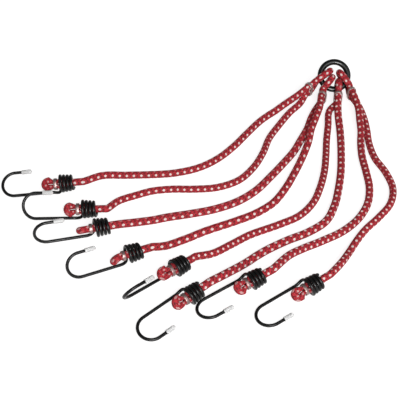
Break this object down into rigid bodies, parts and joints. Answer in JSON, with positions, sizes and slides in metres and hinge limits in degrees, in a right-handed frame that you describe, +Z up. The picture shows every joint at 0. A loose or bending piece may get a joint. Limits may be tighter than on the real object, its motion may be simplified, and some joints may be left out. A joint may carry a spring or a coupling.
{
  "type": "multi-arm bungee strap",
  "caption": "Elastic luggage strap: red braided cords doubled through a black steel ring, each arm ending in a black wire hook wound round the folded cord end.",
  "frame": {"origin": "middle of the laid-out strap without its arms' cords, on the surface that it lies on", "axes": "+X across the pictured spread to the right, +Y away from the viewer, +Z up off the surface"},
  "size_m": [0.4576, 0.4185, 0.0407],
  "materials": {
    "elastic_cord": "braided cover, matt",
    "hook_wire": "satin black coating",
    "ring_steel": "gloss black coating",
    "pressed_clip": "bright plated",
    "dipped_tip": "translucent white dipped vinyl"
  },
  "bodies": {
    "bundle": {"ring_loop_1_2": "elastic_cord", "ring_clip_1_2": "pressed_clip", "ring_loop_4_3": "elastic_cord", "ring_clip_4_3": "pressed_clip", "ring_loop_6_5": "elastic_cord", "ring_clip_6_5": "pressed_clip", "ring_loop_7_8": "elastic_cord", "ring_clip_7_8": "pressed_clip", "arm_cord_1": "elastic_cord", "arm_cord_2": "elastic_cord", "arm_cord_3": "elastic_cord", "arm_cord_4": "elastic_cord", "arm_cord_5": "elastic_cord", "arm_cord_6": "elastic_cord", "arm_cord_7": "elastic_cord", "arm_cord_8": "elastic_cord"},
    "ring": {"ring": "ring_steel"},
    "neck_1": {"neck_cord_1": "elastic_cord"},
    "hook_1": {"hook_wire_1": "hook_wire", "hook_tip_1": "dipped_tip", "folded_end_1": "elastic_cord", "end_clip_1": "pressed_clip"},
    "neck_2": {"neck_cord_2": "elastic_cord"},
    "hook_2": {"hook_wire_2": "hook_wire", "hook_tip_2": "dipped_tip", "folded_end_2": "elastic_cord", "end_clip_2": "pressed_clip"},
    "neck_3": {"neck_cord_3": "elastic_cord"},
    "hook_3": {"hook_wire_3": "hook_wire", "hook_tip_3": "dipped_tip", "folded_end_3": "elastic_cord", "end_clip_3": "pressed_clip"},
    "neck_4": {"neck_cord_4": "elastic_cord"},
    "hook_4": {"hook_wire_4": "hook_wire", "hook_tip_4": "dipped_tip", "folded_end_4": "elastic_cord", "end_clip_4": "pressed_clip"},
    "neck_5": {"neck_cord_5": "elastic_cord"},
    "hook_5": {"hook_wire_5": "hook_wire", "hook_tip_5": "dipped_tip", "folded_end_5": "elastic_cord", "end_clip_5": "pressed_clip"},
    "neck_6": {"neck_cord_6": "elastic_cord"},
    "hook_6": {"hook_wire_6": "hook_wire", "hook_tip_6": "dipped_tip", "folded_end_6": "elastic_cord", "end_clip_6": "pressed_clip"},
    "neck_7": {"neck_cord_7": "elastic_cord"},
    "hook_7": {"hook_wire_7": "hook_wire", "hook_tip_7": "dipped_tip", "folded_end_7": "elastic_cord", "end_clip_7": "pressed_clip"},
    "neck_8": {"neck_cord_8": "elastic_cord"},
    "hook_8": {"hook_wire_8": "hook_wire", "hook_tip_8": "dipped_tip", "folded_end_8": "elastic_cord", "end_clip_8": "pressed_clip"}
  },
  "joints": [
    {"name": "ring_turn", "type": "hinge", "parent": "bundle", "child": "ring", "pos_m": [0.183, 0.1934, 0.0249], "axis": [0, -0.7071, 0.7071], "continuous": true},
    {"name": "arm_1_stretch", "type": "slide", "parent": "bundle", "child": "neck_1", "axis": [-0.9995, -0.0314, 0], "range_m": [0, 0.22], "stiffness_N_per_m": 300, "deforming": ["arm_cord_1"]},
    {"name": "hook_1_twist", "type": "hinge", "parent": "neck_1", "child": "hook_1", "pos_m": [-0.149, 0.0116, 0.01093], "axis": [-0.9944, -0.0312, -0.1005], "range_deg": [-90, 0], "stiffness_Nm_per_rad": 0.02},
    {"name": "arm_2_stretch", "type": "slide", "parent": "bundle", "child": "neck_2", "axis": [-0.9998, 0.0209, 0], "range_m": [0, 0.22], "stiffness_N_per_m": 300, "deforming": ["arm_cord_2"]},
    {"name": "hook_2_twist", "type": "hinge", "parent": "neck_2", "child": "hook_2", "pos_m": [-0.12, -0.0301, 0.01153], "axis": [-0.9988, 0.0209, -0.0438], "range_deg": [-90, 90], "stiffness_Nm_per_rad": 0.02},
    {"name": "arm_3_stretch", "type": "slide", "parent": "bundle", "child": "neck_3", "axis": [-0.9774, -0.2113, 0], "range_m": [0, 0.22], "stiffness_N_per_m": 300, "deforming": ["arm_cord_3"]},
    {"name": "hook_3_twist", "type": "hinge", "parent": "neck_3", "child": "hook_3", "pos_m": [-0.1033, -0.0599, 0.01191], "axis": [-0.9774, -0.2113, -0.0022], "range_deg": [-90, 90], "stiffness_Nm_per_rad": 0.02},
    {"name": "arm_4_stretch", "type": "slide", "parent": "bundle", "child": "neck_4", "axis": [-0.9291, -0.3698, 0], "range_m": [0, 0.22], "stiffness_N_per_m": 300, "deforming": ["arm_cord_4"]},
    {"name": "hook_4_twist", "type": "hinge", "parent": "neck_4", "child": "hook_4", "pos_m": [-0.0656, -0.0996, 0.012], "axis": [-0.929, -0.3697, -0.0172], "range_deg": [-90, 90], "stiffness_Nm_per_rad": 0.02},
    {"name": "arm_5_stretch", "type": "slide", "parent": "bundle", "child": "neck_5", "axis": [-0.7934, -0.6088, 0], "range_m": [0, 0.22], "stiffness_N_per_m": 300, "deforming": ["arm_cord_5"]},
    {"name": "hook_5_twist", "type": "hinge", "parent": "neck_5", "child": "hook_5", "pos_m": [-0.014, -0.1191, 0.01087], "axis": [-0.7934, -0.6088, 0], "range_deg": [-90, 90], "stiffness_Nm_per_rad": 0.02},
    {"name": "arm_6_stretch", "type": "slide", "parent": "bundle", "child": "neck_6", "axis": [-0.7859, -0.6184, 0], "range_m": [0, 0.22], "stiffness_N_per_m": 300, "deforming": ["arm_cord_6"]},
    {"name": "hook_6_twist", "type": "hinge", "parent": "neck_6", "child": "hook_6", "pos_m": [0.0013, -0.1578, 0.0105], "axis": [-0.7813, -0.6149, -0.1071], "range_deg": [0, 90], "stiffness_Nm_per_rad": 0.02},
    {"name": "arm_7_stretch", "type": "slide", "parent": "bundle", "child": "neck_7", "axis": [-0.332, -0.9433, 0], "range_m": [0, 0.22], "stiffness_N_per_m": 300, "deforming": ["arm_cord_7"]},
    {"name": "hook_7_twist", "type": "hinge", "parent": "neck_7", "child": "hook_7", "pos_m": [0.0667, -0.137, 0.01038], "axis": [-0.8559, -0.5021, -0.124], "range_deg": [0, 90], "stiffness_Nm_per_rad": 0.02},
    {"name": "arm_8_stretch", "type": "slide", "parent": "bundle", "child": "neck_8", "axis": [-0.1622, -0.9868, 0], "range_m": [0, 0.22], "stiffness_N_per_m": 300, "deforming": ["arm_cord_8"]},
    {"name": "hook_8_twist", "type": "hinge", "parent": "neck_8", "child": "hook_8", "pos_m": [0.1274, -0.1449, 0.01022], "axis": [-0.843, -0.5227, -0.1272], "range_deg": [0, 90], "stiffness_Nm_per_rad": 0.02}
  ]
}
